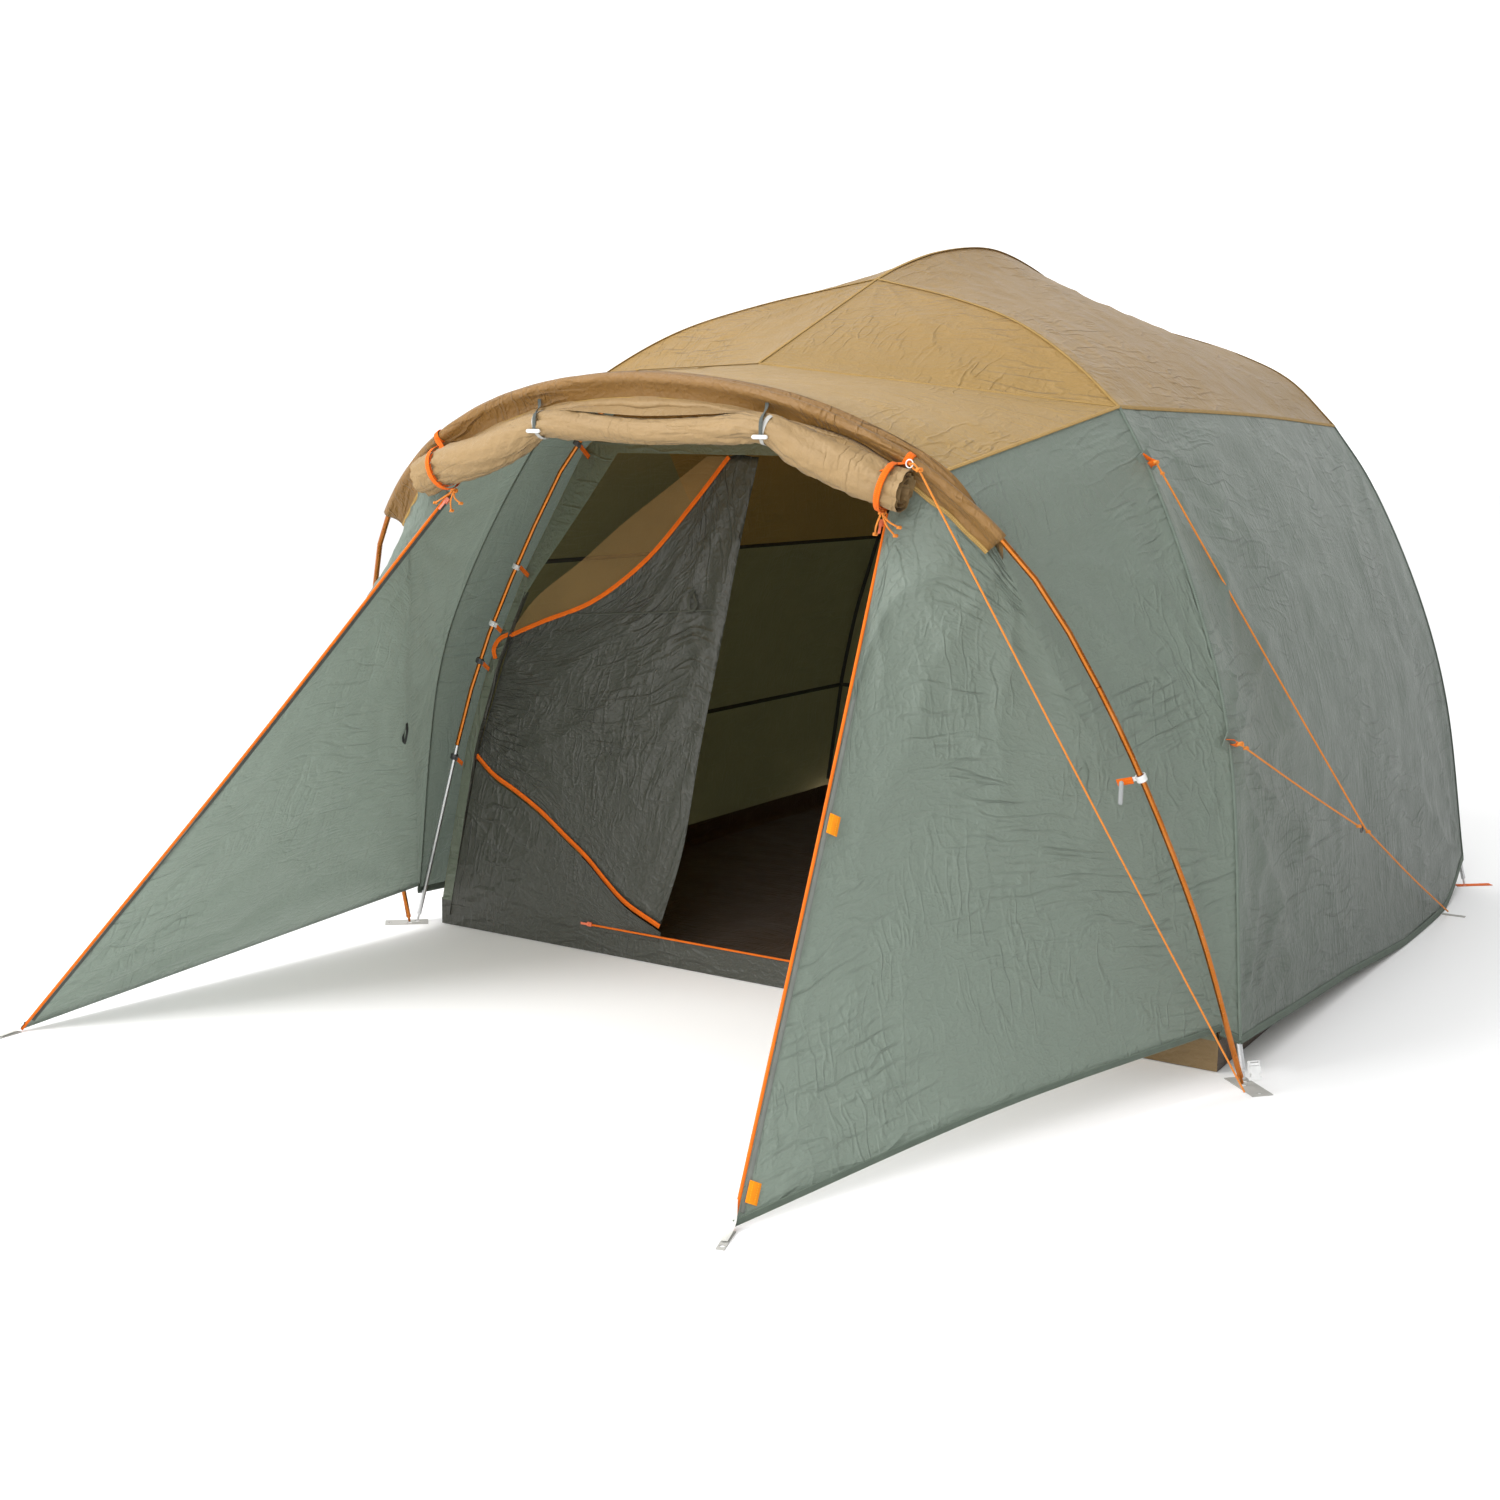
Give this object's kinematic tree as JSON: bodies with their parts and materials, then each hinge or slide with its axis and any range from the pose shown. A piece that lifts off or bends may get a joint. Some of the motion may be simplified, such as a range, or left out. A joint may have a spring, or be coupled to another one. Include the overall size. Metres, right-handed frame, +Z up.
{
  "type": "family dome tent",
  "caption": "Family dome tent on hubbed aluminium poles, with a full fly and a front vestibule staked open like two wings.",
  "frame": {"origin": "on the ground at the centre of the sewn floor's underside", "axes": "+Z up, +X to the right of someone looking in at the door, +Y towards the rear; the vestibule's wings reach out towards -Y"},
  "size_m": [2.58, 3.7364, 1.9114],
  "materials": {
    "tan_fabric": "satin",
    "sage_fabric": "satin",
    "grey_fabric": "matte",
    "floor_fabric": "matte",
    "tan_mesh": "matte",
    "orange_tube": "gloss",
    "silver_tube": "satin",
    "black_plastic": "satin",
    "pale_plastic": "satin",
    "orange_plastic": "satin",
    "grey_webbing": "matte",
    "orange_webbing": "matte",
    "orange_cord": "matte"
  },
  "bodies": {
    "root": {"leg_lower_front_right": "silver_tube", "leg_lower_front_left": "silver_tube", "leg_lower_rear_right": "silver_tube", "leg_lower_rear_left": "silver_tube", "leg_upper_front_right": "orange_tube", "leg_upper_front_left": "orange_tube", "leg_upper_rear_right": "orange_tube", "leg_upper_rear_left": "orange_tube", "ridge_pole": "orange_tube", "arch_pole_left": "orange_tube", "arch_pole_right": "orange_tube", "arch_pole_middle": "orange_tube", "hub_front": "black_plastic", "hub_rear": "black_plastic", "guy_ring": "black_plastic", "corner_strap_front_right": "grey_webbing", "corner_strap_front_left": "grey_webbing", "corner_strap_rear_right": "grey_webbing", "corner_strap_rear_left": "grey_webbing", "roll_loop_left": "grey_webbing", "roll_loop_right": "grey_webbing", "stake_loop_flap_right": "grey_webbing", "stake_loop_flap_left": "grey_webbing", "stake_loop_side_right": "grey_webbing", "stake_loop_side_left": "grey_webbing", "stake_loop_rear": "grey_webbing", "buckle_body": "pale_plastic", "arch_clip": "pale_plastic", "leg_clip_front_left": "pale_plastic", "tent_floor": "floor_fabric", "inner_canopy_walls": "grey_fabric", "inner_front_wall": "grey_fabric", "inner_front_lower_panel": "grey_fabric", "inner_canopy_roof": "tan_fabric", "fly_roof_right": "tan_fabric", "fly_roof_left": "tan_fabric", "fly_roof_front": "tan_fabric", "fly_roof_rear": "tan_fabric", "fly_vestibule_roof": "tan_fabric", "arch_visor": "tan_fabric", "rolled_door": "tan_fabric", "fly_wall_right": "sage_fabric", "fly_wall_left": "sage_fabric", "fly_wall_rear": "sage_fabric", "fly_vestibule_right": "sage_fabric", "fly_vestibule_left": "sage_fabric", "roll_band_left": "orange_webbing", "roll_band_right": "orange_webbing", "arch_guy": "orange_cord", "side_guy_long": "orange_cord", "side_guy_short": "orange_cord"},
    "door_leaf": {"inner_door": "grey_fabric", "inner_door_mesh": "tan_mesh"},
    "sill_slider": {"sill_slider": "orange_plastic"},
    "flap_slider_right": {"flap_slider_right": "orange_plastic"},
    "flap_slider_left": {"flap_slider_left": "orange_plastic"},
    "roll_toggle_left": {"roll_toggle_left": "pale_plastic"},
    "roll_toggle_right": {"roll_toggle_right": "pale_plastic"},
    "clip_toggle": {"clip_toggle": "pale_plastic"},
    "buckle_insert": {"buckle_insert": "pale_plastic"}
  },
  "joints": [
    {"name": "door_swing", "type": "hinge", "parent": "root", "child": "door_leaf", "pos_m": [-1.02417, -1.05534, 0.49], "axis": [0.3392, 0.1309, 0.9316], "range_deg": [0, 60]},
    {"name": "sill_zip", "type": "slide", "parent": "root", "child": "sill_slider", "axis": [1, 0, 0], "range_m": [0, 1.2]},
    {"name": "flap_zip_right", "type": "slide", "parent": "root", "child": "flap_slider_right", "axis": [0.1015, -0.5406, -0.8351], "range_m": [0, 1.38]},
    {"name": "flap_zip_left", "type": "slide", "parent": "root", "child": "flap_slider_left", "axis": [-0.404, -0.4866, -0.7746], "range_m": [0, 1.5]},
    {"name": "roll_toggle_left_turn", "type": "hinge", "parent": "root", "child": "roll_toggle_left", "pos_m": [-0.22605, -1.79197, 1.38053], "axis": [0, -0.9272, -0.3746], "range_deg": [-70, 70]},
    {"name": "roll_toggle_right_turn", "type": "hinge", "parent": "root", "child": "roll_toggle_right", "pos_m": [0.34936, -1.78903, 1.37327], "axis": [0, -0.9272, -0.3746], "range_deg": [-70, 70]},
    {"name": "clip_toggle_swing", "type": "hinge", "parent": "root", "child": "clip_toggle", "pos_m": [1.01451, -1.45494, 0.69878], "axis": [0, 1, 0], "range_deg": [-35, 35]},
    {"name": "buckle_release", "type": "slide", "parent": "root", "child": "buckle_insert", "axis": [-0.213, 0.1929, 0.9578], "range_m": [0, 0.024]}
  ]
}
